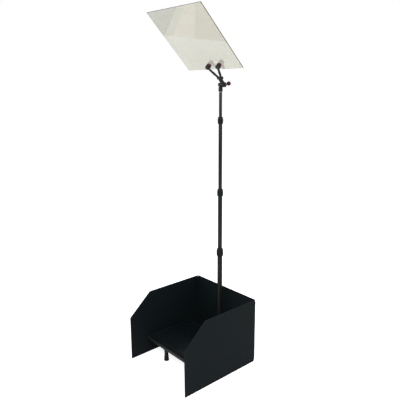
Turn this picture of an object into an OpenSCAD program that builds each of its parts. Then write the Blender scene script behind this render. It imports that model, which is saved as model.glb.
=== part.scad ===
// Floor-standing speech teleprompter: a flat monitor under an open-fronted hood, a four-section
// twist-lock pole behind it, and a tilting head that holds a half-silvered glass over the monitor.
// +Z is up, the speaker stands on the -Y side, and the origin is at floor level under the middle.

/* [Hood] */
// Outside width of the hood across its side panels
hood_w = 480; // [470:1:500]
// Outside depth of the hood, front edge to rear face
hood_d = 502; // [496:1:520]
// Height of the hood at the back
hood_h = 370; // [330:1:420]
// Height of the side panels' front edges
front_h = 250; // [200:1:300]
// Depth taken off each side panel's top corner by the slanted cut
slant_d = 137; // [80:1:180]
// Thickness of the hood panels
panel_t = 5; // [4:0.5:6]

/* [Pole] */
// Outside diameter of the lowest tube
tube_od = 28; // [27:0.5:29]
// Wall of every tube
tube_wall = 1.2; // [1:0.1:1.3]
// Height of the middle of the first twist lock
lock_1_z = 592; // [500:1:620]
// Length of the second section that shows
section_2_out = 344; // [200:1:360]
// Length of the third section that shows
section_3_out = 391; // [200:1:395]
// Length of the fourth section that shows
section_4_out = 147; // [60:1:300]
// How far in front of the hood's rear face the pole's axis stands
pole_inset = 43.5; // [40:0.5:48]

/* [Head and glass] */
// Width of the half-silvered glass
glass_w = 406; // [300:1:450]
// Length of the glass along its slope
glass_l = 382; // [280:1:420]
// Thickness of the glass
glass_t = 4; // [3:0.5:4]
// Lean of the glass from upright
glass_tilt = 45; // [40:1:50]
// Distance between the two glass clamps
clamp_pitch = 76; // [70:1:90]
// Diameter of the red clamp knobs
knob_d = 27; // [20:1:28]

/* [Monitor] */
// Width of the monitor
monitor_w = 456; // [440:1:458]
// Depth of the monitor as it lies
monitor_d = 296; // [280:1:298]
// Width of the monitor's bezel
bezel_w = 13; // [11:0.5:20]
// Height of the tray's underside above the floor
tray_z = 88; // [84:1:100]

/* [Hidden] */
$fn = 48;

// Colours
powder = "#1d2122";
board_black = "#202627";
tube_black = "#2a2d2d";
moulded = "#232829";
rubber_black = "#161819";
knob_red = "#5c1a28";
bright = "#b9bcbe";
screen_black = "#0c0f11";
board_green = "#1f4a33";

// Clearances
slip = 0.1;                     // radial clearance of a sliding or turning fit
gap = 0.3;                      // clearance between parts that only pass each other
floor_gap = 1;                  // the panels hang this far off the floor

// Hood places
barrel_r = 2.3;                 // piano hinges, let into the corners
hood_front = -hood_d / 2;
hood_rear = hood_front + hood_d;
inner_x = hood_w / 2 - panel_t;
inner_rear = hood_rear - panel_t;
pole_y = hood_rear - pole_inset;

// Base frame
rail_s = 25;                    // section of the square rails
rail_wall = 1.5;
rail_x = 96;
rail_z = tray_z - rail_s;       // underside of the rails
rail_front = hood_front + 130;
cap_head = 3;
rail_rear = inner_rear - cap_head;
leg_r = 11;
leg_front_y = hood_front + 138.5;
leg_rear_y = pole_y - 6;
cross_front_y = leg_front_y + 60;
sole_t = 5;
foot_h = 27;                    // top of the rubber foot

// Tray
sheet = 1.5;
tray_front = hood_front + 100;
tray_d = 320;
tray_y = tray_front + tray_d / 2;
tray_x = inner_x - 2.5;
rim_h = 18;
lip_r = 8.5;                    // rolled front lip
fabric_t = 1.1;                 // thickness of each half of the hook-and-loop pads
pad_y = [-110, 100];            // middles of the pads, from the tray's middle
pad_l = 60;
pad_h = 13;

// Monitor
cover_z = tray_z + sheet + 3.5; // underside of the rear cover
split_z = cover_z + 8;          // joint between the rear cover and the bezel
bezel_top = split_z + 8;
monitor_y = tray_front + 2 * lip_r + 1 + monitor_d / 2;
bezel_t = 4;
case_t = 2.5;
case_r = 5;
bulge_w = 156;
bulge_d = 160;
bulge_y = monitor_y + 35;
bulge_z = cover_z - 28;
bulge_rear = bulge_y + bulge_d / 2;
board_z = bulge_z + case_t + 3;
board_top = board_z + 1.6;
button_r = 2.5;
button_x = monitor_w / 2 - 30;
button_y = monitor_y - monitor_d / 2 + 6;

// Pole: tube n is a step slimmer than tube n - 1
tube_step = 4;
tube_l = [509, 480, 480, 440];
function tube_r(n) = (tube_od - tube_step * (n - 1)) / 2;
function tube_bore(n) = tube_r(n) - tube_wall;
lock_z = [lock_1_z, lock_1_z + section_2_out, lock_1_z + section_2_out + section_3_out];
head_z = lock_z[2] + section_4_out;          // underside of the head
tube_rise = 12;                 // a tube ends this far above the middle of its lock
function tube_top(n) = n == 4 ? head_z - 0.5 : lock_z[n - 1] + tube_rise;
nut_r = [19, 16.75, 14.75];
nut_h = [43, 40, 37];
collet_l = 25;
bush_l = 30;
socket_base = tray_z;           // the socket's flange lies on the rear cross tube
flange_t = 4;
cup_h = 62;
cup_r = tube_r(1) + 4.5;
socket_floor = socket_base + flange_t + 3;
socket_knob_z = socket_base + 42;

// Head
ring_h = 2;                     // bright flange of the spigot, under the head
stud_r = 5;
cup_top = head_z + ring_h + 24;
pivot_z = cup_top + 11;
knuckle_r = 10.5;
knuckle_x = 14.5;               // the knuckle on the pole ends here, on the tilt side
knuckle_back = 9;               // and here on the other side
hub_r = 12.5;
hub_w = 17.9;
pivot_r = 4;
washer_x = knuckle_x + hub_w + 2 * gap;
washer_t = 1.6;
lever_x = washer_x + washer_t + 0.1;
lever_l = 20.5;
lever_rise = 17.5;              // angle of the lever above level
lever_hub = 6.5;                // length of the lever's hub
lever_splay = 10;               // the arm leans out this much, to clear the tilt hub
ball_r = 11;

// Glass, drawn upright on its lower edge and then leant forward
glass_y = pole_y - 42.5;
glass_z = pivot_z + 78;
pad_t = 1;
pad_r = 11;
clamp_mid = 22;                 // the pair of clamps is centred on the stem, right of the pole
clamp_up = 29;                  // clamp bolts above the glass's lower edge
boss_r = 12.5;
boss_t = 11;
boss_back = -14.5;              // boss's face towards the glass
function clamp_x(i) = clamp_mid + (i == 0 ? -1 : 1) * clamp_pitch / 2;
arm_r = 5.5;
arm_pin_r = 3;                  // thin end of an arm, in its clamp
cross_at = [20, -20, -43];      // top of the stem, in the leant glass's directions
cross_from = 7;                 // the crosshead starts here and runs to the right
cross_l = 34;
// Where the left and the right arm leave the crosshead; each runs to its clamp's boss
arm_foot = [[13.5, -20, -40], [33.5, -20, -38]];
function boss_at(i) = [clamp_x(i), boss_back - boss_t / 2, clamp_up];
function arm_tip(i) = boss_at(i) - (boss_at(i) - arm_foot[i]) / norm(boss_at(i) - arm_foot[i]) * 7.5;
function arm_l(i) = norm(arm_tip(i) - arm_foot[i]);
jaw_t = 1;
jaw_gap = 0.1;
screw_r = 3;
knob_h = 8;
flutes = 12;

// ---- shared shapes ----

module along_x() { rotate([0, 90, 0]) children(); }

module along_y() { rotate([-90, 0, 0]) children(); }

// Puts a shape for the right-hand side on the left-hand side.
module left_side() { mirror([1, 0, 0]) children(); }

module both_sides() {
    children();
    left_side() children();
}

// A tube standing on z = 0.
module pipe(outer, inner, h) {
    difference() {
        cylinder(r = outer, h = h);
        translate([0, 0, -1]) cylinder(r = inner, h = h + 2);
    }
}

// A flat block with rounded upright edges, centred on x and y.
module rounded_block(size, r) {
    linear_extrude(size.z) hull() {
        for (x = [-1, 1], y = [-1, 1]) {
            translate([x * (size.x / 2 - r), y * (size.y / 2 - r)]) circle(r = r, $fn = 24);
        }
    }
}

// A flat block without rounding, centred on x and y and standing on z = 0.
module block(size) {
    translate([-size.x / 2, -size.y / 2, 0]) cube(size);
}

// A scalloped hand knob standing on z = 0, with a domed rim.
module knob(r, h, n) {
    flute_r = 3.1416 * r / n * 0.52;
    difference() {
        rotate_extrude() polygon([[0, 0], [r - 1, 0], [r, 1], [r, h - 1.6], [r - 1.6, h],
            [r * 0.5, h], [r * 0.42, h - 0.8], [0, h - 0.8]]);
        for (i = [0:n - 1]) {
            rotate([0, 0, i * 360 / n]) translate([r + flute_r * 0.62, 0, -1])
                cylinder(r = flute_r, h = h + 2, $fn = 20);
        }
    }
}

// A pan-headed screw: head on z = 0 upwards, shank down.
module pan_screw(r, head_r, head_h, l) {
    rotate_extrude() polygon([[0, -l], [r, -l], [r, 0], [head_r, 0], [head_r, head_h * 0.5],
        [head_r * 0.75, head_h], [0, head_h]]);
}

// A countersunk screw, its head's face on z = 0, shank down.
module flush_screw(r, head_r, l) {
    rotate_extrude() polygon([[0, -l], [r, -l], [r, r - head_r], [head_r, 0], [0, 0]]);
}

// Moves a shape drawn round an upright glass to the glass's real place.
module on_glass() {
    translate([0, glass_y, glass_z]) rotate([glass_tilt, 0, 0]) children();
}

// ---- base frame ----

module rail_profile() {
    difference() {
        square(rail_s, center = true);
        square(rail_s - 2 * rail_wall, center = true);
    }
}

module rail() {
    color(powder) difference() {
        translate([rail_x, rail_front, rail_z + rail_s / 2]) rotate([-90, 0, 0])
            linear_extrude(rail_rear - rail_front) rail_profile();
        for (y = tray_screw_y) {
            translate([rail_x, y, tray_z - 5]) cylinder(r = 2 + slip, h = 10);
        }
    }
}

module cross_tubes() {
    span = 2 * rail_x - rail_s;
    color(powder) difference() {
        for (y = [cross_front_y, pole_y]) {
            translate([-span / 2, y, rail_z + rail_s / 2]) rotate([90, 0, 90])
                linear_extrude(span) rail_profile();
        }
        for (p = socket_screw_at) {
            translate([p.x, pole_y + p.y, tray_z - 5]) cylinder(r = 2.5 + slip, h = 10);
        }
    }
}

panel_screw_z = [-6, 6];         // above and below the rails' middle

// Front caps are blind; the rear panel's screws go into the rear ones.
module rail_end_caps() {
    insert = rail_s - 2 * rail_wall - 0.4;
    color(moulded) both_sides() translate([rail_x, 0, rail_z + rail_s / 2]) {
        translate([0, rail_front, 0]) rotate([90, 0, 0]) {
            block([rail_s, rail_s, cap_head]);
            translate([0, 0, -12]) block([insert, insert, 12]);
        }
        difference() {
            translate([0, rail_rear, 0]) rotate([-90, 0, 0]) {
                block([rail_s, rail_s, cap_head]);
                translate([0, 0, -15]) block([insert, insert, 15]);
            }
            for (z = panel_screw_z) {
                translate([0, rail_rear - 20, z]) along_y() cylinder(r = 2, h = 40);
            }
        }
    }
}

module each_leg() {
    for (x = [-rail_x, rail_x], y = [leg_front_y, leg_rear_y]) translate([x, y, 0]) children();
}

module legs() {
    color(tube_black) each_leg() translate([0, 0, sole_t + 3]) cylinder(r = leg_r, h = rail_z - sole_t - 3);
}

// Ferrules with a flared skirt and two grip beads.
module rubber_feet() {
    color(rubber_black) each_leg() rotate_extrude() polygon([[0, sole_t], [13.6, sole_t],
        [13.6, sole_t + 4], [12.9, sole_t + 7], [12.6, 16], [13, 17], [12.5, 18], [12.4, 24],
        [12.8, 25], [12.4, foot_h], [leg_r + 0.05, foot_h], [leg_r + 0.05, sole_t + 3],
        [0, sole_t + 3]]);
}

module foot_soles() {
    color(knob_red) each_leg() rotate_extrude() polygon([[0, 0], [13.4, 0], [14.5, 1.2],
        [14.5, sole_t - 1], [13.8, sole_t], [0, sole_t]]);
}

// ---- pole socket ----

socket_screw_at = [for (x = [-27, 27], y = [-8, 8]) [x, y]];

tip_l = 3;

module pole_socket() {
    color(powder) translate([0, pole_y, socket_base]) difference() {
        union() {
            block([68, rail_s, flange_t]);
            cylinder(r = cup_r, h = cup_h);
            translate([0, 0, socket_knob_z - socket_base]) along_x() cylinder(r = 8, h = cup_r + 7);
        }
        translate([0, 0, socket_floor - socket_base]) cylinder(r = tube_r(1) + slip, h = cup_h);
        translate([0, 0, socket_knob_z - socket_base]) along_x() cylinder(r = 4 + slip, h = 40);
        for (p = socket_screw_at) {
            translate([p.x, p.y, -1]) cylinder(r = 2.5 + slip, h = flange_t + 2);
        }
    }
}

module frame_screws() {
    color(bright) {
        for (p = socket_screw_at) {
            translate([p.x, pole_y + p.y, socket_base + flange_t]) pan_screw(2.5, 4.5, 2.8, 9);
        }
        both_sides() for (z = panel_screw_z) {
            translate([rail_x, hood_rear, rail_z + rail_s / 2 + z]) along_y() flush_screw(2, 4, 18);
        }
    }
}

// Nylon tip that the knob presses against the pole.
module socket_screw_tip() {
    color(rubber_black) translate([tube_r(1) + slip, pole_y, socket_knob_z]) along_x()
        cylinder(r = 4, h = tip_l);
}

module socket_knob() {
    start = tube_r(1) + slip + tip_l + slip;
    color(knob_red) translate([0, pole_y, socket_knob_z]) along_x() {
        translate([0, 0, start]) cylinder(r = 4, h = cup_r + 9 - start);
        translate([0, 0, cup_r + 8]) knob(15, 15, 8);
    }
}

// ---- tray ----

tray_screw_y = [tray_y - 80, tray_y + 125];
monitor_screw_at = [for (x = [-190, 190], y = [-110, 110]) [x, monitor_y + y]];

// Folded sheet pan with a rolled front lip and a window for the monitor's housing.
module tray() {
    flat_from = tray_front + lip_r;
    flat_d = tray_d - lip_r;
    color(powder) difference() {
        union() {
            translate([-tray_x, flat_from, tray_z]) cube([2 * tray_x, flat_d, sheet]);
            both_sides() translate([tray_x - sheet, flat_from, tray_z]) cube([sheet, flat_d, rim_h]);
            translate([-tray_x, tray_front + tray_d - sheet, tray_z]) cube([2 * tray_x, sheet, rim_h]);
            translate([-tray_x, flat_from, tray_z + lip_r]) along_x() difference() {
                cylinder(r = lip_r, h = 2 * tray_x);
                translate([0, 0, -1]) cylinder(r = lip_r - sheet, h = 2 * tray_x + 2);
            }
        }
        translate([0, bulge_y, tray_z - 1]) block([bulge_w + 6, bulge_d + 6, 4]);
        both_sides() for (y = tray_screw_y) {
            translate([rail_x, y, tray_z - 1]) cylinder(r = 2 + slip, h = 4);
        }
        for (p = monitor_screw_at) {
            translate([p.x, p.y, tray_z - 1]) cylinder(r = 2 + slip, h = 4);
        }
    }
}

module tray_screws() {
    color(bright) {
        both_sides() for (y = tray_screw_y) {
            translate([rail_x, y, tray_z + sheet]) pan_screw(2, 4, 2.4, 8);
        }
        for (p = monitor_screw_at) {
            translate([p.x, p.y, tray_z]) mirror([0, 0, 1]) pan_screw(2, 4, 2.4, 7);
        }
    }
}

// ---- monitor ----

socket_cutouts = [[-52, 18, 14], [-20, 16, 8], [5, 12, 12]];   // middle, width, height
inlet_x = 48;
inlet_size = [28, 19];
vent_n = 11;
main_board_at = [-24, bulge_y - 3];
main_board_size = [88, 136];
power_board_at = [50, bulge_y - 3];
power_board_size = [44, 136];

// The low posts that one board stands on.
module board_posts(at, size) {
    for (x = [-1, 1], y = [-1, 1]) {
        translate([at.x + x * (size.x / 2 - 5), at.y + y * (size.y / 2 - 5), bulge_z + 1])
            cylinder(r = 3, h = board_z - bulge_z - 1);
    }
}

module monitor_rear_cover() {
    foot = cover_z + case_t - (tray_z + sheet);
    color(moulded) difference() {
        union() {
            difference() {
                union() {
                    translate([0, monitor_y, cover_z])
                        rounded_block([monitor_w, monitor_d, split_z - cover_z], case_r);
                    translate([0, bulge_y, bulge_z]) block([bulge_w, bulge_d, cover_z - bulge_z + 1]);
                }
                translate([0, monitor_y, cover_z + case_t])
                    block([monitor_w - 2 * case_t, monitor_d - 2 * case_t, split_z]);
                translate([0, bulge_y, bulge_z + case_t])
                    block([bulge_w - 2 * case_t, bulge_d - 2 * case_t, split_z]);
            }
            for (p = monitor_screw_at) {
                translate([p.x, p.y, tray_z + sheet]) cylinder(r = 6, h = foot);
            }
            board_posts(main_board_at, main_board_size);
            board_posts(power_board_at, power_board_size);
        }
        for (p = monitor_screw_at) {
            translate([p.x, p.y, tray_z]) cylinder(r = 2 + slip, h = 12);
        }
        for (i = [0:vent_n - 1]) {
            translate([(i - (vent_n - 1) / 2) * 11, bulge_y - 20, bulge_z - 1]) block([4, 60, 5]);
        }
        for (c = socket_cutouts) {
            translate([c[0], bulge_rear - 1, board_top + c[2] / 2]) cube([c[1], 10, c[2]], center = true);
        }
        translate([inlet_x, bulge_rear - 1, board_top + inlet_size.y / 2])
            cube([inlet_size.x, 10, inlet_size.y], center = true);
    }
}

module monitor_bezel() {
    inside = bezel_top - split_z - bezel_t;
    color(moulded) translate([0, monitor_y, split_z]) difference() {
        rounded_block([monitor_w, monitor_d, bezel_top - split_z], case_r);
        translate([0, 0, -1]) block([monitor_w - 2 * case_t, monitor_d - 2 * case_t, inside + 1]);
        translate([0, 0, inside - 1]) block([monitor_w - 2 * bezel_w, monitor_d - 2 * bezel_w, 20]);
        // a shallow step runs round the window
        translate([0, 0, inside + bezel_t - 1.2])
            block([monitor_w - 2 * bezel_w + 4, monitor_d - 2 * bezel_w + 4, 5]);
        translate([button_x, button_y - monitor_y, 0]) cylinder(r = button_r + slip, h = 20);
    }
}

module lcd_module() {
    lip = 3;
    thick = 8.5;
    color(screen_black) translate([0, monitor_y, bezel_top - bezel_t - thick])
        block([monitor_w - 2 * bezel_w + 2 * lip, monitor_d - 2 * bezel_w + 2 * lip, thick]);
}

module main_board() {
    color(board_green) translate([main_board_at.x, main_board_at.y, board_z]) {
        block([main_board_size.x, main_board_size.y, 1.6]);
        for (c = [[-20, 15, 26, 26, 3], [18, 22, 18, 18, 4], [-15, -28, 22, 14, 3],
            [22, -18, 12, 26, 7], [2, -54, 50, 8, 6]]) {
            translate([c[0], c[1], 1.5]) block([c[2], c[3], c[4]]);
        }
    }
}

module power_board() {
    color(board_green) translate([power_board_at.x, power_board_at.y, board_z]) {
        block([power_board_size.x, power_board_size.y, 1.6]);
        for (y = [-40, -22]) translate([-8, y, 1.5]) cylinder(r = 6, h = 16);
        translate([6, 10, 1.5]) block([20, 22, 16]);
        translate([-4, 42, 1.5]) block([26, 10, 9]);
    }
}

module signal_sockets() {
    color(bright) for (c = socket_cutouts) {
        translate([c[0], bulge_rear - 7, board_top + c[2] / 2]) difference() {
            cube([c[1] - 2 * slip, 16, c[2] - 2 * slip], center = true);
            translate([0, 5, 0]) cube([c[1] - 3, 12, c[2] - 3], center = true);
        }
    }
}

module power_inlet() {
    color(rubber_black) translate([inlet_x, bulge_rear - 7, board_top + inlet_size.y / 2]) {
        difference() {
            cube([inlet_size.x - 2 * slip, 16, inlet_size.y - 2 * slip], center = true);
            translate([0, 4, 0]) cube([inlet_size.x - 5, 14, inlet_size.y - 6], center = true);
        }
        for (x = [-7, 0, 7]) translate([x, 0.5, x == 0 ? 2 : -1]) cube([2, 10, 4], center = true);
    }
}

module power_button() {
    color(moulded) translate([button_x, button_y, bezel_top]) {
        translate([0, 0, -5]) cylinder(r = button_r, h = 6);
        translate([0, 0, -5.5]) cylinder(r = button_r + 0.7, h = 1.2);
    }
}

// ---- hood ----

notch_w = 90;                   // cable notch at the bottom of the rear panel
notch_h = 36;

module rear_panel() {
    half = hood_w / 2 - corner;
    color(board_black) difference() {
        translate([0, hood_rear, 0]) rotate([90, 0, 0]) linear_extrude(panel_t)
            polygon([[-half, floor_gap], [-notch_w / 2, floor_gap], [-notch_w / 2, notch_h],
                [notch_w / 2, notch_h], [notch_w / 2, floor_gap], [half, floor_gap], [half, hood_h],
                [-half, hood_h]]);
        both_sides() {
            for (z = panel_screw_z) {
                translate([rail_x, hood_rear, rail_z + rail_s / 2 + z]) along_y()
                    rotate_extrude() polygon([[0, -panel_t - 1], [2 + slip, -panel_t - 1],
                        [2 + slip, slip - 2], [4 + slip, slip], [4 + slip, 1], [0, 1]]);
            }
            translate([half - leaf_in, hinge_y - leaf_t / 2, hinge_z]) cube([leaf_in + 1, leaf_t, hinge_l]);
        }
    }
}

module side_panel() {
    back = hood_rear - corner;
    color(board_black) difference() {
        translate([inner_x, 0, 0]) rotate([90, 0, 90]) linear_extrude(panel_t)
            polygon([[hood_front, floor_gap], [back, floor_gap], [back, hood_h],
                [hood_front + slant_d, hood_h], [hood_front, front_h]]);
        translate([hinge_x - leaf_t / 2, back - leaf_in, hinge_z]) cube([leaf_t, leaf_in + 1, hinge_l]);
    }
}

// ---- piano hinges let into the two rear corners ----

hinge_pin_r = 1;
leaf_in = 14;                   // depth of a leaf in its panel's groove
leaf_t = 1;
knuckle_l = 25;
knuckle_n = 14;
hinge_l = knuckle_n * knuckle_l;
hinge_z = (hood_h - hinge_l) / 2;
hinge_x = hood_w / 2 - panel_t / 2;
hinge_y = hood_rear - panel_t / 2;
corner = panel_t / 2 + barrel_r + 0.5;   // a panel ends this far from the hood's corner

// One leaf on the hinge's axis, reaching along -x, with the knuckles of one parity.
module hinge_leaf(parity, play) {
    clear = barrel_r + gap;
    reach = corner - panel_t / 2 + leaf_in;
    translate([0, 0, hinge_z]) difference() {
        union() {
            translate([-reach, -leaf_t / 2, 0]) cube([reach - clear, leaf_t, hinge_l]);
            for (i = [parity:2:knuckle_n - 1]) translate([0, 0, i * knuckle_l + 0.15]) {
                cylinder(r = barrel_r, h = knuckle_l - 0.3, $fn = 32);
                translate([-clear - 0.5, -leaf_t / 2, 0]) cube([clear, leaf_t, knuckle_l - 0.3]);
            }
        }
        translate([0, 0, -1]) cylinder(r = hinge_pin_r + play, h = hinge_l + 2, $fn = 24);
    }
}

module rear_hinge_leaves() {
    color(powder) both_sides() translate([hinge_x, hinge_y, 0]) hinge_leaf(0, 0);
}

module side_hinge_leaf() {
    color(powder) translate([hinge_x, hinge_y, 0]) rotate([0, 0, 90]) mirror([0, 1, 0])
        hinge_leaf(1, 0.06);
}

module hinge_pins() {
    color(bright) both_sides() translate([hinge_x, hinge_y, hinge_z + 0.5])
        cylinder(r = hinge_pin_r, h = hinge_l - 1, $fn = 24);
}

// ---- hook-and-loop pads between the tray's rims and the side panels ----

module pads(x) {
    for (y = pad_y) {
        translate([x, tray_y + y, tray_z + 2]) block([fabric_t, pad_l, pad_h]);
    }
}

module loop_pads() {
    color(rubber_black) both_sides() pads(tray_x + fabric_t / 2);
}

module hook_pads() {
    color(rubber_black) pads(inner_x - fabric_t / 2);
}

// ---- pole ----

module pole_tube(n) {
    l = tube_l[n - 1];
    color(tube_black) translate([0, pole_y, n == 1 ? socket_floor : tube_top(n) - l])
        pipe(tube_r(n), tube_bore(n), n == 1 ? tube_top(1) - socket_floor : l);
}

// Split plastic collet in the mouth of tube n; the next tube slides through it.
module collet(n) {
    inner = tube_r(n + 1) + slip;
    color(rubber_black) translate([0, pole_y, tube_top(n)]) difference() {
        rotate_extrude() polygon([[inner, -collet_l], [tube_bore(n) - 0.05, -collet_l],
            [tube_bore(n) - 0.05, 0.05], [tube_r(n), 0.05], [tube_r(n), 1.2], [inner + 0.9, 4],
            [inner, 4]]);
        for (a = [0, 120, 240]) rotate([0, 0, a])
            translate([0, -0.6, -collet_l - 1]) cube([tube_od, 1.2, collet_l - 4]);
    }
}

// Sleeve on the foot of tube n that guides it in the tube outside it.
module guide_bush(n) {
    color(rubber_black) translate([0, pole_y, tube_top(n) - tube_l[n - 1]])
        pipe(tube_bore(n - 1) - slip, tube_r(n) + 0.05, bush_l);
}

// Twist-lock nut: ribbed barrel that narrows to the slimmer tube above it.
module lock_nut(n) {
    r = nut_r[n - 1];
    h = nut_h[n - 1];
    low = tube_r(n) + 0.08;
    high = tube_r(n + 1) + 0.35;
    seat = tube_rise + h / 2 + 5;
    ribs = 18;
    color(rubber_black) translate([0, pole_y, lock_z[n - 1] - h / 2]) difference() {
        rotate_extrude() polygon([[low, 0], [r - 2.2, 0], [r - 1, 2], [r - 0.6, 6], [r, 9],
            [r, h - 13], [r - 0.8, h - 9], [r - 1.6, h - 8], [r - 1.6, h - 4], [r - 3, h],
            [high, h], [high, seat + 1.5], [low, seat], [low, 0]]);
        for (i = [0:ribs - 1]) rotate([0, 0, i * 360 / ribs])
            translate([r + 0.5, 0, 10.5]) cylinder(r = 1.3, h = h - 25, $fn = 16);
    }
}

// ---- head ----

module top_spigot() {
    color(bright) translate([0, pole_y, head_z]) {
        translate([0, 0, -35]) cylinder(r = tube_bore(4) - 0.05, h = 35);
        cylinder(r = 9, h = ring_h);
        cylinder(r = stud_r, h = 19);
    }
}

// Socket that turns on the spigot, with the fixed half of the tilt joint on top.
module head_swivel() {
    stem_up = pivot_z - head_z;
    color(powder) translate([0, pole_y, head_z]) difference() {
        union() {
            rotate_extrude() polygon([[0, ring_h + gap], [10.5, ring_h + gap], [11, ring_h + 1.5],
                [11, 18], [10.2, 19], [10.2, 20.5], [11, 21.5], [11, ring_h + 21.5],
                [9.5, ring_h + 23.5], [7.5, ring_h + 24], [7.5, stem_up], [0, stem_up]]);
            translate([-knuckle_back, 0, stem_up]) along_x()
                cylinder(r = knuckle_r, h = knuckle_back + knuckle_x);
        }
        translate([0, 0, -1]) cylinder(r = stud_r + slip, h = 21);
        translate([-30, 0, stem_up]) along_x() cylinder(r = pivot_r + slip, h = 60);
    }
}

// Casting that carries the glass: tilt hub, grooved stem and the crosshead for the arms.
module tilt_bracket() {
    color(powder) difference() {
        union() {
            translate([knuckle_x + gap, pole_y, pivot_z]) along_x() cylinder(r = hub_r, h = hub_w);
            hull() {
                translate([knuckle_x + gap + 0.5, pole_y, pivot_z]) along_x()
                    cylinder(r = 7, h = hub_w - 1, $fn = 32);
                on_glass() translate(cross_at - [hub_w / 2 - 0.5, 0, 0]) along_x()
                    cylinder(r = 6, h = hub_w - 1, $fn = 32);
            }
            on_glass() translate([cross_from, cross_at.y, cross_at.z]) along_x()
                rotate_extrude() polygon([[0, 0], [6.8, 0], [7.8, 1], [7.8, cross_l - 1], [6.8, cross_l],
                    [0, cross_l]]);
        }
        translate([-30, pole_y, pivot_z]) along_x() cylinder(r = pivot_r + slip, h = 90);
        translate([-30, pole_y, pivot_z]) along_x() cylinder(r = knuckle_r + gap, h = 30 + knuckle_x + gap);
        on_glass() translate(cross_at) rotate([-6.6, -8.8, 0]) translate([-1.5, -12, -37]) cube([3, 7.6, 27]);
        on_glass() for (i = [0, 1]) {
            arm_line(i) {
                translate([0, 0, -6]) cylinder(r = arm_r - 1, h = 20);
                translate([0, 0, 5]) cylinder(r = arm_r + 0.01, h = 15);
            }
        }
    }
}

module pivot_bolt() {
    end = washer_x + washer_t;
    color(bright) translate([0, pole_y, pivot_z]) along_x() {
        translate([0, 0, -knuckle_back - 4]) cylinder(r = 6.5, h = 4);
        translate([0, 0, -knuckle_back - 1]) cylinder(r = pivot_r, h = knuckle_back + 1 + end);
        translate([0, 0, washer_x]) cylinder(r = 9, h = washer_t);
        translate([0, 0, end - 1]) cylinder(r = 2.5, h = lever_hub + 3);
        translate([0, 0, end + 0.1 + lever_hub + gap]) rotate_extrude() polygon([[0, 0], [4.2, 0], [4.2, 1.8],
            [3.2, 3], [0, 3.4]]);
    }
}

// Places things on the lever: x along the pivot bolt, y out along the arm.
module lever_frame() {
    translate([lever_x, pole_y, pivot_z]) rotate([lever_rise, 0, 0]) children();
}

// Runs a shape standing on z = 0 along the lever's arm.
module lever_arm() { translate([lever_hub / 2 - 0.5, 0, 0]) rotate([0, 0, -lever_splay]) along_y() children(); }

// Clamping lever: a hub on the end of the pivot bolt and a tapered arm that ends in the ball.
module tilt_lever() {
    color(powder) lever_frame() difference() {
        union() {
            along_x() rotate_extrude() polygon([[0, 0], [7.5, 0], [7.5, lever_hub - 1],
                [6.5, lever_hub], [0, lever_hub]]);
            lever_arm() cylinder(r1 = 2.7, r2 = 2.5, h = lever_l - ball_r + 5);
        }
        translate([-1, 0, 0]) along_x() cylinder(r = 2.5 + slip, h = lever_hub + 2);
    }
}

module lever_ball() {
    color(knob_red) lever_frame() lever_arm() difference() {
        translate([0, 0, lever_l]) sphere(r = ball_r, $fn = 64);
        cylinder(r1 = 2.72, r2 = 2.52, h = lever_l - ball_r + 5);
    }
}

// Runs a shape along one arm's axis, starting at the crosshead; i is 0 for the left arm.
module arm_line(i) {
    run = arm_tip(i) - arm_foot[i];
    translate(arm_foot[i]) rotate([0, acos(run.z / norm(run)), atan2(run.y, run.x)]) children();
}

module arm(i) {
    l = arm_l(i);
    color(tube_black) on_glass() arm_line(i) {
        translate([0, 0, -6]) cylinder(r = arm_r - 1, h = 12);
        translate([0, 0, 5]) rotate_extrude() polygon([[0, 0], [arm_r, 0], [arm_r, l * 0.2],
            [arm_r + 0.8, l * 0.26], [arm_r + 0.8, l * 0.5], [arm_r, l * 0.56], [arm_r, l - 11],
            [0, l - 11]]);
        translate([0, 0, l - 7]) cylinder(r = arm_pin_r, h = 9);
    }
}

// Boss on the end of an arm; the clamp bolt screws into its back.
module clamp_body(i) {
    color(moulded) on_glass() difference() {
        translate([clamp_x(i), boss_back, clamp_up]) rotate([90, 0, 0]) rotate_extrude()
            polygon([[0, 0], [boss_r - 1, 0], [boss_r, 1], [boss_r, boss_t - 2], [boss_r - 2, boss_t],
                [6.5, boss_t], [5.5, boss_t - 1], [0, boss_t - 1]]);
        translate([clamp_x(i), boss_back - boss_t + 3, clamp_up]) along_y() cylinder(r = screw_r + slip, h = boss_t);
        arm_line(i) {
            translate([0, 0, arm_l(i) - 8]) cylinder(r = arm_pin_r, h = 10);
            translate([0, 0, arm_l(i) - 26]) cylinder(r = arm_r + 0.01, h = 20);
        }
    }
}

// Bolt through the glass: broad low head behind it, shank forward into the boss.
module clamp_bolts() {
    color(rubber_black) on_glass() for (i = [0, 1]) {
        translate([clamp_x(i), glass_t / 2, clamp_up]) along_y() rotate_extrude()
            polygon([[0, 0], [9, 0], [9, 1.2], [7, 3], [0, 3.4]]);
        translate([clamp_x(i), boss_back - boss_t + 3.5, clamp_up]) along_y()
            cylinder(r = screw_r, h = glass_t / 2 - boss_back + boss_t - 3.5 + 1);
    }
}

// Soft washers on the front of the glass.
module front_pads() {
    color(rubber_black) on_glass() for (i = [0, 1]) {
        translate([clamp_x(i), -glass_t / 2, clamp_up]) rotate([90, 0, 0])
            pipe(pad_r, screw_r + 0.5, pad_t);
    }
}

// Stiff washer that the thumb nut pushes against the soft one.
module jaw_pad(i) {
    color(rubber_black) on_glass() translate([clamp_x(i), -glass_t / 2 - pad_t - jaw_gap, clamp_up])
        rotate([90, 0, 0]) pipe(pad_r + 0.5, screw_r + slip, jaw_t);
}

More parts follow.
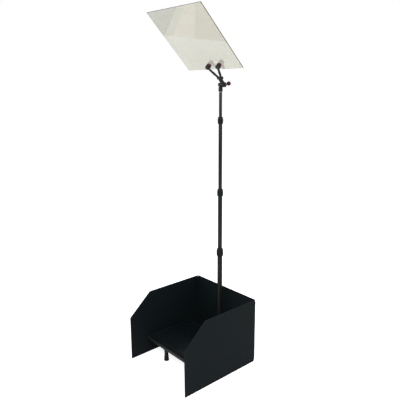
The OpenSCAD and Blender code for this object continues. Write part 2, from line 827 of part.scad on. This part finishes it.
// Fluted thumb nut on the clamp bolt.
module clamp_knob(i) {
    start = glass_t / 2 + pad_t + jaw_t + 2 * jaw_gap;
    color(knob_red) on_glass() translate([clamp_x(i), -start, clamp_up]) rotate([90, 0, 0]) difference() {
        knob(knob_d / 2, knob_h, flutes);
        translate([0, 0, -1]) cylinder(r = screw_r + slip, h = knob_h + 2);
    }
}

module mirror_glass() {
    color("#d8d8ce", 0.4) on_glass() difference() {
        translate([-glass_w / 2, -glass_t / 2, 0]) cube([glass_w, glass_t, glass_l]);
        for (i = [0, 1]) {
            translate([clamp_x(i), -glass_t, clamp_up]) along_y() cylinder(r = screw_r + 0.5, h = 2 * glass_t);
        }
    }
}

left_side() rail();  // rail_left
rail();  // rail_right
cross_tubes();
rail_end_caps();
legs();
rubber_feet();
foot_soles();
pole_socket();
frame_screws();
socket_screw_tip();
socket_knob();
tray();
tray_screws();
monitor_rear_cover();
monitor_bezel();
lcd_module();
main_board();
power_board();
signal_sockets();
power_inlet();
power_button();
rear_panel();
rear_hinge_leaves();
hinge_pins();
loop_pads();
left_side() side_panel();  // left_panel
left_side() side_hinge_leaf();  // left_hinge_leaf
left_side() hook_pads();  // left_hook_pads
side_panel();  // right_panel
side_hinge_leaf();  // right_hinge_leaf
hook_pads();  // right_hook_pads
pole_tube(1);  // pole_tube_1
collet(1);  // collet_1
lock_nut(1);  // lock_nut_1
pole_tube(2);  // pole_tube_2
union() { collet(2); guide_bush(2); }  // tube_2_bushes
lock_nut(2);  // lock_nut_2
pole_tube(3);  // pole_tube_3
union() { collet(3); guide_bush(3); }  // tube_3_bushes
lock_nut(3);  // lock_nut_3
pole_tube(4);  // pole_tube_4
guide_bush(4);  // tube_4_bush
top_spigot();
head_swivel();
tilt_bracket();
pivot_bolt();
tilt_lever();
lever_ball();
arm(0);  // left_arm
arm(1);  // right_arm
clamp_body(0);  // left_clamp_body
clamp_body(1);  // right_clamp_body
clamp_bolts();
front_pads();
jaw_pad(0);  // left_jaw_pad
jaw_pad(1);  // right_jaw_pad
clamp_knob(0);  // left_clamp_knob
clamp_knob(1);  // right_clamp_knob
mirror_glass();
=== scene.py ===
# A floor-standing speech teleprompter: a flat monitor in an open black hood, a four-section
# twist-lock pole, and a tilting head with a half-silvered glass. The sections below follow the way
# it is put together, from the floor up.
import math

import bmesh
import bpy
from mathutils import Matrix, Vector


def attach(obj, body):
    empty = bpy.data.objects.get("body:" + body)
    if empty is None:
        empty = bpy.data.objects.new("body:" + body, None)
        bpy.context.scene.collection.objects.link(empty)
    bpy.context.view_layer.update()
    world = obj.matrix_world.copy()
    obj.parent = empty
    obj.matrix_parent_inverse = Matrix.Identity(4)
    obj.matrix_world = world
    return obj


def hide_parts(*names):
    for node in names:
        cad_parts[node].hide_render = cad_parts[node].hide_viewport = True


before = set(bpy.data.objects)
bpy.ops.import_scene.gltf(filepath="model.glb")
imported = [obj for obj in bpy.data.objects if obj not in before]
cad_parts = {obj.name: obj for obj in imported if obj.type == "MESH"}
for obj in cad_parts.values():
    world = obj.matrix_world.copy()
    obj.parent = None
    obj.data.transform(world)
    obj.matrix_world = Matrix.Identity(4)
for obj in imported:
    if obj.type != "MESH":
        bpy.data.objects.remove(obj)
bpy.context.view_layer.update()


# ---- Camera ----
# A slightly long lens at about shoulder height, which looks down at the open side from the right. The
# three angles turn it to the left, tip it down and level its horizon.
camera_yaw = math.radians(49.03)
camera_dip = math.radians(13.17)
camera_roll = math.radians(-0.32)
forward = Vector((-math.sin(camera_yaw) * math.cos(camera_dip),
                  math.cos(camera_yaw) * math.cos(camera_dip), -math.sin(camera_dip)))
level = Vector((math.cos(camera_yaw), math.sin(camera_yaw), 0))
upward = level.cross(forward)
right = level * math.cos(camera_roll) + upward * math.sin(camera_roll)
upward = upward * math.cos(camera_roll) - level * math.sin(camera_roll)
camera_data = bpy.data.cameras.new("camera")
camera_data.sensor_width = 36
camera_data.lens = 43.196
camera_data.clip_end = 60
camera = bpy.data.objects.new("camera", camera_data)
bpy.context.collection.objects.link(camera)
camera_place = Vector((1.87023, -1.56310, 1.49658))
camera.matrix_world = Matrix((
    (right.x, upward.x, -forward.x, camera_place.x),
    (right.y, upward.y, -forward.y, camera_place.y),
    (right.z, upward.z, -forward.z, camera_place.z),
    (0, 0, 0, 1)))
bpy.context.scene.camera = camera


# ---- Studio ----
# A pale seamless floor, one big soft light over the open side and two weaker ones to fill it. Four
# painted cards lie side by side on the left, out of shot, for the tilted glass to mirror.
floor_reach = 14
paper_glow = 0.80
floor_shape = bmesh.new()
bmesh.ops.create_grid(floor_shape, x_segments=1, y_segments=1, size=floor_reach)
floor_mesh = bpy.data.meshes.new("studio_floor")
floor_shape.to_mesh(floor_mesh)
floor_shape.free()
studio_floor = bpy.data.objects.new("studio_floor", floor_mesh)
bpy.context.collection.objects.link(studio_floor)

# The paper glows a little where the camera looks at it, straight on or through the glass, so that it
# stays white without throwing more light on the object.
floor_finish = bpy.data.materials.new("studio_paper")
floor_finish.use_nodes = True
paper = floor_finish.node_tree.nodes["Principled BSDF"]
paper.inputs["Base Color"].default_value = (0.88, 0.88, 0.88, 1)
paper.inputs["Roughness"].default_value = 0.95
paper.inputs["Specular IOR Level"].default_value = 0.1
paper.inputs["Emission Color"].default_value = (1, 1, 1, 1)
paper_tree = floor_finish.node_tree
paper_seen = paper_tree.nodes.new("ShaderNodeLightPath")
paper_direct = paper_tree.nodes.new("ShaderNodeMath")
paper_direct.operation = "MAXIMUM"
paper_lift = paper_tree.nodes.new("ShaderNodeMath")
paper_lift.operation = "MULTIPLY"
paper_lift.inputs[1].default_value = paper_glow
paper_tree.links.new(paper_seen.outputs["Is Camera Ray"], paper_direct.inputs[0])
paper_tree.links.new(paper_seen.outputs["Is Transmission Ray"], paper_direct.inputs[1])
paper_tree.links.new(paper_direct.outputs[0], paper_lift.inputs[0])
paper_tree.links.new(paper_lift.outputs[0], paper.inputs["Emission Strength"])
floor_mesh.materials.append(floor_finish)

card_height = 0.02
cards = (
    ("dark_card", (0.10, 0.10, 0.16), ((-3.6, -0.452), (-3.6, -0.8), (-2.09, -0.8), (-2.48, -0.297))),
    ("middle_card", (0.52, 0.48, 0.46),
     ((-2.48, -0.297), (-2.09, -0.8), (-1.97, -0.8), (-2.35, -0.279))),
    ("cream_card", (0.78, 0.69, 0.58),
     ((-2.35, -0.279), (-1.97, -0.8), (-1.96, -0.8), (-1.994, -0.229))),
    ("grey_card", (0.50, 0.42, 0.34), ((-1.994, -0.229), (-1.96, -0.8), (-0.9, -0.8), (-0.9, -0.078))))
for card_name, card_colour, card_corners in cards:
    card_shape = bmesh.new()
    card_shape.faces.new([card_shape.verts.new((x, y, card_height)) for x, y in card_corners])
    card_mesh = bpy.data.meshes.new(card_name)
    card_shape.to_mesh(card_mesh)
    card_shape.free()
    card = bpy.data.objects.new(card_name, card_mesh)
    bpy.context.collection.objects.link(card)
    card.visible_camera = False
    card.visible_diffuse = False
    card.visible_transmission = False
    card.visible_shadow = False
    card_finish = bpy.data.materials.new(card_name)
    card_finish.use_nodes = True
    card_paint = card_finish.node_tree.nodes["Principled BSDF"]
    card_paint.inputs["Base Color"].default_value = (*card_colour, 1)
    card_paint.inputs["Roughness"].default_value = 0.9
    card_mesh.materials.append(card_finish)

# The room is dim for the light that falls on the object and for what its faces mirror, and white where
# the camera sees it.
room_light = 0.42
backdrop_light = 1.0
studio_air = bpy.data.worlds.new("studio_air")
bpy.context.scene.world = studio_air
studio_air.use_nodes = True
air = studio_air.node_tree
room = air.nodes["Background"]
room.inputs["Color"].default_value = (0.93, 0.96, 1, 1)
room.inputs["Strength"].default_value = room_light
backdrop = air.nodes.new("ShaderNodeBackground")
backdrop.inputs["Color"].default_value = (1, 1, 1, 1)
backdrop.inputs["Strength"].default_value = backdrop_light
seen = air.nodes.new("ShaderNodeLightPath")
straight = air.nodes.new("ShaderNodeMath")
straight.operation = "MAXIMUM"
either = air.nodes.new("ShaderNodeMixShader")
air.links.new(seen.outputs["Is Camera Ray"], straight.inputs[0])
air.links.new(seen.outputs["Is Transmission Ray"], straight.inputs[1])
air.links.new(straight.outputs[0], either.inputs[0])
air.links.new(room.outputs[0], either.inputs[1])
air.links.new(backdrop.outputs[0], either.inputs[2])
air.links.new(either.outputs[0], air.nodes["World Output"].inputs["Surface"])


# A round soft box on a stand: its width and place in metres, its power in watts.
def soft_light(name, size, power, place, aim):
    light = bpy.data.lights.new(name, "AREA")
    light.shape = "DISK"
    light.size = size
    light.energy = power
    lamp = bpy.data.objects.new(name, light)
    bpy.context.collection.objects.link(lamp)
    lamp.location = place
    lamp.rotation_euler = (Vector(aim) - Vector(place)).to_track_quat("-Z", "Y").to_euler()
    return lamp


lamps = [soft_light("key", size=2.4, power=105, place=(2.6, -2.4, 3.4), aim=(0, 0, 0.7)),
         soft_light("fill", size=2.6, power=50, place=(-3.2, -2.2, 2.6), aim=(0, 0, 0.6)),
         soft_light("rim", size=2.0, power=50, place=(0.8, 3.2, 3.0), aim=(0, 0, 0.9))]
bpy.context.scene.view_settings.view_transform = "Standard"


# ---- Steel frame and tray ----
# Two square rails and two cross tubes, cut and butted, carry a tray folded from one sheet with a
# rolled front lip. All are powder coated satin black, with a soft orange-peel surface, and moulded
# caps are pushed into the rails' ends.
def new_group(name, inputs, outputs):
    group = bpy.data.node_groups.new(name, "ShaderNodeTree")
    for label, kind, value in inputs:
        socket = group.interface.new_socket(label, in_out="INPUT", socket_type=kind)
        if value is not None:
            socket.default_value = value
    for label, kind in outputs:
        group.interface.new_socket(label, in_out="OUTPUT", socket_type=kind)
    return group, group.nodes.new("NodeGroupInput"), group.nodes.new("NodeGroupOutput")


# Fine grain, used by every finish: a height for the relief, and a slow tone that drifts over the
# surface.
fine_grain, grain_in, grain_out = new_group(
    "fine_grain",
    [("Vector", "NodeSocketVector", None), ("Grains per metre", "NodeSocketFloat", 900.0),
     ("Patches per metre", "NodeSocketFloat", 6.0)],
    [("Height", "NodeSocketFloat"), ("Tone", "NodeSocketFloat")])
fine_noise = fine_grain.nodes.new("ShaderNodeTexNoise")
fine_noise.inputs["Detail"].default_value = 3
fine_noise.inputs["Roughness"].default_value = 0.55
slow_noise = fine_grain.nodes.new("ShaderNodeTexNoise")
slow_noise.inputs["Detail"].default_value = 5
slow_noise.inputs["Roughness"].default_value = 0.6
fine_grain.links.new(grain_in.outputs["Vector"], fine_noise.inputs["Vector"])
fine_grain.links.new(grain_in.outputs["Grains per metre"], fine_noise.inputs["Scale"])
fine_grain.links.new(grain_in.outputs["Vector"], slow_noise.inputs["Vector"])
fine_grain.links.new(grain_in.outputs["Patches per metre"], slow_noise.inputs["Scale"])
fine_grain.links.new(fine_noise.outputs["Fac"], grain_out.inputs["Height"])
fine_grain.links.new(slow_noise.outputs["Fac"], grain_out.inputs["Tone"])

# Handling marks: a mask of thin rubbed streaks and a mask of settled dust.
handling, handled_in, handled_out = new_group(
    "handling_marks",
    [("Vector", "NodeSocketVector", None), ("Streaks per metre", "NodeSocketFloat", 30.0),
     ("Amount", "NodeSocketFloat", 0.5)],
    [("Rubbed", "NodeSocketFloat"), ("Dust", "NodeSocketFloat")])
streak_noise = handling.nodes.new("ShaderNodeTexNoise")
streak_noise.inputs["Detail"].default_value = 8
streak_noise.inputs["Roughness"].default_value = 0.72
streak_noise.inputs["Distortion"].default_value = 1.4
streak_cut = handling.nodes.new("ShaderNodeMapRange")
streak_cut.inputs["From Min"].default_value = 0.62
streak_cut.inputs["From Max"].default_value = 0.74
dust_noise = handling.nodes.new("ShaderNodeTexNoise")
dust_noise.inputs["Scale"].default_value = 420
dust_noise.inputs["Detail"].default_value = 2
dust_cut = handling.nodes.new("ShaderNodeMapRange")
dust_cut.inputs["From Min"].default_value = 0.6
dust_cut.inputs["From Max"].default_value = 0.78
streak_amount = handling.nodes.new("ShaderNodeMath")
streak_amount.operation = "MULTIPLY"
dust_amount = handling.nodes.new("ShaderNodeMath")
dust_amount.operation = "MULTIPLY"
handling.links.new(handled_in.outputs["Vector"], streak_noise.inputs["Vector"])
handling.links.new(handled_in.outputs["Streaks per metre"], streak_noise.inputs["Scale"])
handling.links.new(streak_noise.outputs["Fac"], streak_cut.inputs["Value"])
handling.links.new(streak_cut.outputs["Result"], streak_amount.inputs[0])
handling.links.new(handled_in.outputs["Amount"], streak_amount.inputs[1])
handling.links.new(streak_amount.outputs[0], handled_out.inputs["Rubbed"])
handling.links.new(handled_in.outputs["Vector"], dust_noise.inputs["Vector"])
handling.links.new(dust_noise.outputs["Fac"], dust_cut.inputs["Value"])
handling.links.new(dust_cut.outputs["Result"], dust_amount.inputs[0])
handling.links.new(handled_in.outputs["Amount"], dust_amount.inputs[1])
handling.links.new(dust_amount.outputs[0], handled_out.inputs["Dust"])


# A finish starts as a shader fed by the grain and handling groups, and each section then adds to it.
# Its colour and its roughness drift from dark to light in patches. Grains and patches are counted
# per metre, and depth is the height of the grain.
def new_finish(name, dark, light, grains, depth, roughness, marks=0.35, patches=6.0, stretch=(1, 1, 1)):
    dust_gain = 1.5
    dust_grey = (0.012, 0.012, 0.011)
    rubbed_shine = -0.12
    relief_strength = 0.7
    finish = bpy.data.materials.new(name)
    finish.use_nodes = True
    tree = finish.node_tree
    add, link = tree.nodes.new, tree.links.new
    shader = tree.nodes["Principled BSDF"]
    place = add("ShaderNodeTexCoord")
    turn = add("ShaderNodeMapping")
    turn.inputs["Scale"].default_value = stretch
    grain = add("ShaderNodeGroup")
    grain.node_tree = fine_grain
    grain.name = "grain"
    grain.inputs["Grains per metre"].default_value = grains
    grain.inputs["Patches per metre"].default_value = patches
    worn = add("ShaderNodeGroup")
    worn.node_tree = handling
    worn.name = "marks"
    worn.inputs["Amount"].default_value = marks
    tone = add("ShaderNodeMix")
    tone.data_type = "RGBA"
    tone.name = "tone"
    tone.inputs[6].default_value = (*dark, 1)
    tone.inputs[7].default_value = (*light, 1)
    dusty = add("ShaderNodeMix")
    dusty.data_type = "RGBA"
    dusty.name = "dusty"
    dust_tone = [shade * dust_gain + grey for shade, grey in zip(light, dust_grey)]
    dusty.inputs[7].default_value = (*dust_tone, 1)
    gloss = add("ShaderNodeMapRange")
    gloss.name = "gloss"
    gloss.inputs["To Min"].default_value = roughness[0]
    gloss.inputs["To Max"].default_value = roughness[1]
    rubbed = add("ShaderNodeMath")
    rubbed.operation = "MULTIPLY_ADD"
    rubbed.inputs[1].default_value = rubbed_shine
    relief = add("ShaderNodeBump")
    relief.name = "relief"
    relief.inputs["Strength"].default_value = relief_strength
    relief.inputs["Distance"].default_value = depth
    link(place.outputs["Object"], turn.inputs["Vector"])
    link(turn.outputs["Vector"], grain.inputs["Vector"])
    link(place.outputs["Object"], worn.inputs["Vector"])
    link(grain.outputs["Tone"], tone.inputs[0])
    link(tone.outputs[2], dusty.inputs[6])
    link(worn.outputs["Dust"], dusty.inputs[0])
    link(dusty.outputs[2], shader.inputs["Base Color"])
    link(grain.outputs["Tone"], gloss.inputs["Value"])
    link(worn.outputs["Rubbed"], rubbed.inputs[0])
    link(gloss.outputs["Result"], rubbed.inputs[2])
    link(rubbed.outputs[0], shader.inputs["Roughness"])
    link(grain.outputs["Height"], relief.inputs["Height"])
    link(relief.outputs["Normal"], shader.inputs["Normal"])
    return finish


# The shader itself, for the values that are the same all over a surface.
def shader_of(finish):
    return finish.node_tree.nodes["Principled BSDF"]


# A maker's copy of a CAD part: welded, its flat faces joined, its edges broken by a small bevel of
# the width that edge gives. Flat faces stay flat-shaded, and only turned surfaces and the bevels are
# smooth.
def edge_broken(node, finish, body, edge=0.0):
    weld_gap = 2e-6
    same_plane = math.radians(0.6)
    least_turn = 0.01
    sharp_corner = math.radians(34)
    shape = bmesh.new()
    shape.from_mesh(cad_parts[node].data)
    bmesh.ops.remove_doubles(shape, verts=shape.verts[:], dist=weld_gap)
    bmesh.ops.dissolve_limit(shape, angle_limit=same_plane, verts=shape.verts[:],
                             edges=shape.edges[:], use_dissolve_boundaries=False)
    for face in shape.faces:
        face.smooth = any(len(side.link_faces) == 2
                          and least_turn < side.calc_face_angle(0) <= sharp_corner
                          for side in face.edges)
    if edge:
        corners = [side for side in shape.edges
                   if len(side.link_faces) == 2 and side.calc_face_angle(0) > sharp_corner]
        cut = bmesh.ops.bevel(shape, geom=corners, offset=edge, offset_type="OFFSET", segments=2,
                              profile=0.5, affect="EDGES", clamp_overlap=True, material=-1)
        for face in cut["faces"]:
            face.smooth = True
    for side in shape.edges:
        side.smooth = len(side.link_faces) == 2 and side.calc_face_angle(0) <= sharp_corner
    mesh = bpy.data.meshes.new(node + "_made")
    shape.to_mesh(mesh)
    shape.free()
    mesh.materials.append(finish)
    piece = bpy.data.objects.new(node + "_made", mesh)
    bpy.context.collection.objects.link(piece)
    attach(piece, body)
    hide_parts(node)
    return piece


powder_coat = new_finish(
    "powder_coat", dark=(0.0105, 0.0125, 0.013), light=(0.0165, 0.019, 0.0195),
    grains=1100, depth=0.00009, roughness=(0.36, 0.5))
shader_of(powder_coat).inputs["Specular IOR Level"].default_value = 0.28
for part in ("rail_left", "rail_right", "cross_tubes", "tray"):
    edge_broken(part, powder_coat, "base", edge=0.0004)

moulded_black = new_finish(
    "moulded_black", dark=(0.0042, 0.0062, 0.0072), light=(0.0072, 0.0098, 0.0110),
    grains=2600, depth=0.00005, roughness=(0.42, 0.56))
shader_of(moulded_black).inputs["Specular IOR Level"].default_value = 0.22
edge_broken("rail_end_caps", moulded_black, "base", edge=0.0006)


# ---- Legs and feet ----
# Short black anodised legs stand under the rails. Each ends in a moulded rubber ferrule with a
# dark red-brown sole that has picked up dust from the stage.
anodised_tube = new_finish(
    "anodised_tube", dark=(0.0115, 0.0125, 0.0123), light=(0.0150, 0.0162, 0.0158),
    grains=2400, depth=0.00001, roughness=(0.32, 0.38), marks=0.12, patches=14, stretch=(1, 1, 0.02))
shader_of(anodised_tube).inputs["Metallic"].default_value = 0.12
shader_of(anodised_tube).inputs["Specular IOR Level"].default_value = 0.3
edge_broken("legs", anodised_tube, "base", edge=0.0004)

rubber = new_finish(
    "rubber", dark=(0.0072, 0.0058, 0.0060), light=(0.0140, 0.0118, 0.0120),
    grains=1500, depth=0.00012, roughness=(0.62, 0.8), marks=0.7)
shader_of(rubber).inputs["Specular IOR Level"].default_value = 0.25
edge_broken("rubber_feet", rubber, "base", edge=0.0004)

sole_rubber = new_finish(
    "sole_rubber", dark=(0.030, 0.0075, 0.008), light=(0.060, 0.017, 0.017),
    grains=900, depth=0.0002, roughness=(0.65, 0.85), marks=0.8, patches=30)
edge_broken("foot_soles", sole_rubber, "base", edge=0.0005)


# ---- Pole socket ----
# A cast flange and cup, screwed to the rear cross tube, holds the lowest tube. A red moulded knob
# drives a nylon tip against it. The screws are zinc plated steel with pan or countersunk heads.
cast_black = new_finish(
    "cast_black", dark=(0.0060, 0.0068, 0.0072), light=(0.0120, 0.0132, 0.0136),
    grains=1300, depth=0.0001, roughness=(0.34, 0.48), marks=0.4, patches=20)
shader_of(cast_black).inputs["Specular IOR Level"].default_value = 0.32
edge_broken("pole_socket", cast_black, "base", edge=0.0006)
edge_broken("socket_screw_tip", moulded_black, "socket_tip", edge=0.0003)

red_knob = new_finish(
    "red_knob", dark=(0.080, 0.0105, 0.0195), light=(0.128, 0.0180, 0.0315),
    grains=700, depth=0.00004, roughness=(0.22, 0.34), marks=0.25, patches=25)
shader_of(red_knob).inputs["Coat Weight"].default_value = 0.25
edge_broken("socket_knob", red_knob, "socket_clamp", edge=0.0005)

zinc_plate = new_finish(
    "zinc_plate", dark=(0.42, 0.43, 0.44), light=(0.62, 0.62, 0.60),
    grains=1800, depth=0.00003, roughness=(0.26, 0.42), patches=60)
shader_of(zinc_plate).inputs["Metallic"].default_value = 1.0


# Sinks a hexagon socket for a key into the flat top of every screw head. A top is found as a face
# with many corners, and the tips have as many but are narrower, so they stay flat. Known fault: the
# ring under a pan head can pass for a top too, and then folds into a hidden pocket under the head.
def key_sockets(screws):
    round_sides = 30
    tip_radius = 0.0025
    rim_width = 0.0008
    across_flats = 0.0025
    socket_depth = 0.0014
    wall_draft = 0.00002
    shape = bmesh.new()
    shape.from_mesh(screws.data)
    heads = [face for face in shape.faces if len(face.verts) > round_sides
             and (face.verts[0].co - face.calc_center_median()).length > tip_radius]
    for head in heads:
        bmesh.ops.inset_individual(shape, faces=[head], thickness=rim_width)
        middle = head.calc_center_median()
        east = (head.verts[0].co - middle).normalized()
        north = head.normal.cross(east)
        for vert in head.verts:
            turn = math.atan2((vert.co - middle).dot(north), (vert.co - middle).dot(east))
            reach = across_flats / 2 / math.cos(turn % math.radians(60) - math.radians(30))
            vert.co = middle + (east * math.cos(turn) + north * math.sin(turn)) * reach
        bmesh.ops.inset_individual(shape, faces=[head], thickness=wall_draft, depth=-socket_depth)
    shape.to_mesh(screws.data)
    shape.free()


for part in ("frame_screws", "tray_screws"):
    key_sockets(edge_broken(part, zinc_plate, "base", edge=0.0003))


# ---- Monitor ----
# A common wide desktop monitor laid on its back in the tray: moulded rear cover and bezel, a dark
# anti-glare screen, and a small power button in the front strip. Two circuit boards inside the
# cover carry the signal sockets and the mains inlet.
edge_broken("monitor_rear_cover", moulded_black, "base", edge=0.0005)
edge_broken("monitor_bezel", moulded_black, "base", edge=0.0005)
edge_broken("power_button", moulded_black, "monitor_button", edge=0.0003)

screen_face = new_finish(
    "screen_face", dark=(0.0048, 0.0080, 0.0094), light=(0.0062, 0.0098, 0.0112),
    grains=5200, depth=0.000003, roughness=(0.22, 0.27), marks=0.06, patches=5)
shader_of(screen_face).inputs["Specular IOR Level"].default_value = 0.8
edge_broken("lcd_module", screen_face, "base", edge=0.0004)

circuit_board = new_finish(
    "circuit_board", dark=(0.008, 0.05, 0.025), light=(0.014, 0.085, 0.042),
    grains=900, depth=0.00008, roughness=(0.35, 0.5), patches=120)
for part in ("main_board", "power_board"):
    edge_broken(part, circuit_board, "base", edge=0.0002)
edge_broken("signal_sockets", zinc_plate, "base", edge=0.0003)
edge_broken("power_inlet", moulded_black, "base", edge=0.0004)


# ---- Hood ----
# Three stiff boards with a fine leather-grain black film. The side boards swing on long piano
# hinges at the rear corners, and hook-and-loop pads hold them to the tray.
hood_board = new_finish(
    "hood_board", dark=(0.0054, 0.0092, 0.0104), light=(0.0074, 0.0116, 0.0130),
    grains=2200, depth=0.00004, roughness=(0.5, 0.62), marks=0.15, patches=4)
shader_of(hood_board).inputs["Specular IOR Level"].default_value = 0.10
hood_tree = hood_board.node_tree
pebbles_per_metre = 620
pebble_share = 1.4
pebbles = hood_tree.nodes.new("ShaderNodeTexVoronoi")
pebbles.feature = "DISTANCE_TO_EDGE"
pebbles.inputs["Scale"].default_value = pebbles_per_metre
pebble_place = hood_tree.nodes.new("ShaderNodeTexCoord")
pebble_sum = hood_tree.nodes.new("ShaderNodeMath")
pebble_sum.operation = "MULTIPLY_ADD"
pebble_sum.inputs[1].default_value = pebble_share
hood_tree.links.new(pebble_place.outputs["Object"], pebbles.inputs["Vector"])
hood_tree.links.new(pebbles.outputs["Distance"], pebble_sum.inputs[0])
hood_tree.links.new(hood_tree.nodes["grain"].outputs["Height"], pebble_sum.inputs[2])
hood_tree.links.new(pebble_sum.outputs[0], hood_tree.nodes["relief"].inputs["Height"])
edge_broken("rear_panel", hood_board, "base", edge=0.0004)
edge_broken("left_panel", hood_board, "left_wing", edge=0.0004)
edge_broken("right_panel", hood_board, "right_wing", edge=0.0004)

edge_broken("rear_hinge_leaves", cast_black, "base")
edge_broken("left_hinge_leaf", cast_black, "left_wing")
edge_broken("right_hinge_leaf", cast_black, "right_wing")
edge_broken("hinge_pins", zinc_plate, "base", edge=0.0002)

hook_and_loop = new_finish(
    "hook_and_loop", dark=(0.004, 0.0042, 0.0045), light=(0.010, 0.0105, 0.011),
    grains=1900, depth=0.0006, roughness=(0.85, 0.95), marks=0.6, patches=90)
shader_of(hook_and_loop).inputs["Sheen Weight"].default_value = 0.15
edge_broken("loop_pads", hook_and_loop, "base")
edge_broken("left_hook_pads", hook_and_loop, "left_wing")
edge_broken("right_hook_pads", hook_and_loop, "right_wing")


# ---- Pole ----
# Four drawn aluminium tubes, black anodised, each sliding in the one below. A ribbed nut on a
# split collet grips the joint, and a plastic bush guides the hidden end.
for number, body in ((1, "base"), (2, "section_2"), (3, "section_3"), (4, "section_4")):
    edge_broken("pole_tube_%d" % number, anodised_tube, body, edge=0.0002)
edge_broken("collet_1", moulded_black, "base")
edge_broken("tube_2_bushes", moulded_black, "section_2")
edge_broken("tube_3_bushes", moulded_black, "section_3")
edge_broken("tube_4_bush", moulded_black, "section_4")
for number in (1, 2, 3):
    edge_broken("lock_nut_%d" % number, moulded_black, "lock_%d" % number, edge=0.0003)


# ---- Head ----
# A plated spigot in the top tube carries a cast socket with a knuckle. The cast glass bracket tilts
# on a nickel plated bolt through the knuckle, and a short lever with a red ball pinches it. Two
# anodised arms are pinned in the bracket's crosshead.
chrome_plate = new_finish(
    "chrome_plate", dark=(0.60, 0.61, 0.62), light=(0.74, 0.74, 0.74),
    grains=1500, depth=0.00002, roughness=(0.08, 0.2), marks=0.4, patches=40)
shader_of(chrome_plate).inputs["Metallic"].default_value = 1.0
edge_broken("top_spigot", chrome_plate, "section_4", edge=0.0003)
edge_broken("head_swivel", cast_black, "swivel", edge=0.0005)

satin_nickel = new_finish(
    "satin_nickel", dark=(0.16, 0.165, 0.17), light=(0.24, 0.24, 0.235),
    grains=1700, depth=0.00002, roughness=(0.26, 0.4), marks=0.5, patches=50)
shader_of(satin_nickel).inputs["Metallic"].default_value = 1.0
edge_broken("pivot_bolt", satin_nickel, "swivel", edge=0.0003)
edge_broken("tilt_bracket", cast_black, "glass_carrier", edge=0.0006)
edge_broken("tilt_lever", cast_black, "lever", edge=0.0004)

red_ball = new_finish(
    "red_ball", dark=(0.038, 0.0035, 0.0080), light=(0.058, 0.0060, 0.0125),
    grains=800, depth=0.00003, roughness=(0.3, 0.42), marks=0.3, patches=40)
shader_of(red_ball).inputs["Specular IOR Level"].default_value = 0.3
edge_broken("lever_ball", red_ball, "lever", edge=0.0002)
for side in ("left", "right"):
    edge_broken(side + "_arm", anodised_tube, "glass_carrier", edge=0.0003)


# ---- Glass clamps ----
# Each arm ends in a black nylon boss. A nylon bolt runs from behind the glass, through it and into
# the boss, and a red fluted thumb nut on the bolt clamps the glass between washers.
clamp_nylon = new_finish(
    "clamp_nylon", dark=(0.010, 0.0118, 0.0125), light=(0.017, 0.0195, 0.0205),
    grains=1700, depth=0.00008, roughness=(0.45, 0.6), marks=0.4, patches=60)
for side in ("left", "right"):
    edge_broken(side + "_clamp_body", clamp_nylon, "glass_carrier", edge=0.0006)
    edge_broken(side + "_jaw_pad", moulded_black, side + "_jaw", edge=0.0002)
    edge_broken(side + "_clamp_knob", red_knob, side + "_screw", edge=0.0005)
edge_broken("front_pads", rubber, "glass_carrier", edge=0.0002)
edge_broken("clamp_bolts", moulded_black, "glass_carrier", edge=0.0003)


# ---- Half-silvered glass ----
# Float glass with a thin metallic coating: it passes most of the light and mirrors the rest, with
# a faint warm grey-green cast and arrised edges.
beam_splitter = bpy.data.materials.new("beam_splitter")
beam_splitter.use_nodes = True
glass_tree = beam_splitter.node_tree
glass_shader = shader_of(beam_splitter)
glass_shader.inputs["Roughness"].default_value = 0.02
glass_shader.inputs["IOR"].default_value = 1.5
glass_shader.inputs["Metallic"].default_value = 0.18
glass_shader.inputs["Transmission Weight"].default_value = 1.0
glass_place = glass_tree.nodes.new("ShaderNodeTexCoord")
thick_coat = (0.68, 0.675, 0.595)
thin_coat = (0.79, 0.785, 0.715)
coat_patches_per_metre = 3.2
coat_drift = glass_tree.nodes.new("ShaderNodeTexNoise")
coat_drift.inputs["Scale"].default_value = coat_patches_per_metre
coat_drift.inputs["Detail"].default_value = 2
coat_tone = glass_tree.nodes.new("ShaderNodeMix")
coat_tone.data_type = "RGBA"
coat_tone.inputs[6].default_value = (*thick_coat, 1)
coat_tone.inputs[7].default_value = (*thin_coat, 1)
glass_tree.links.new(glass_place.outputs["Object"], coat_drift.inputs["Vector"])
glass_tree.links.new(coat_drift.outputs["Fac"], coat_tone.inputs[0])
glass_tree.links.new(coat_tone.outputs[2], glass_shader.inputs["Base Color"])
glass_pane = edge_broken("mirror_glass", beam_splitter, "glass_carrier", edge=0.0006)

# The lamps' round faces are kept out of the mirror, where they would look like holes in the glass.
flagged_off = bpy.data.collections.new("flagged_off_from_lamps")
flagged_off.objects.link(glass_pane)
flagged_off.collection_objects[0].light_linking.link_state = "EXCLUDE"
for lamp in lamps:
    lamp.light_linking.receiver_collection = flagged_off
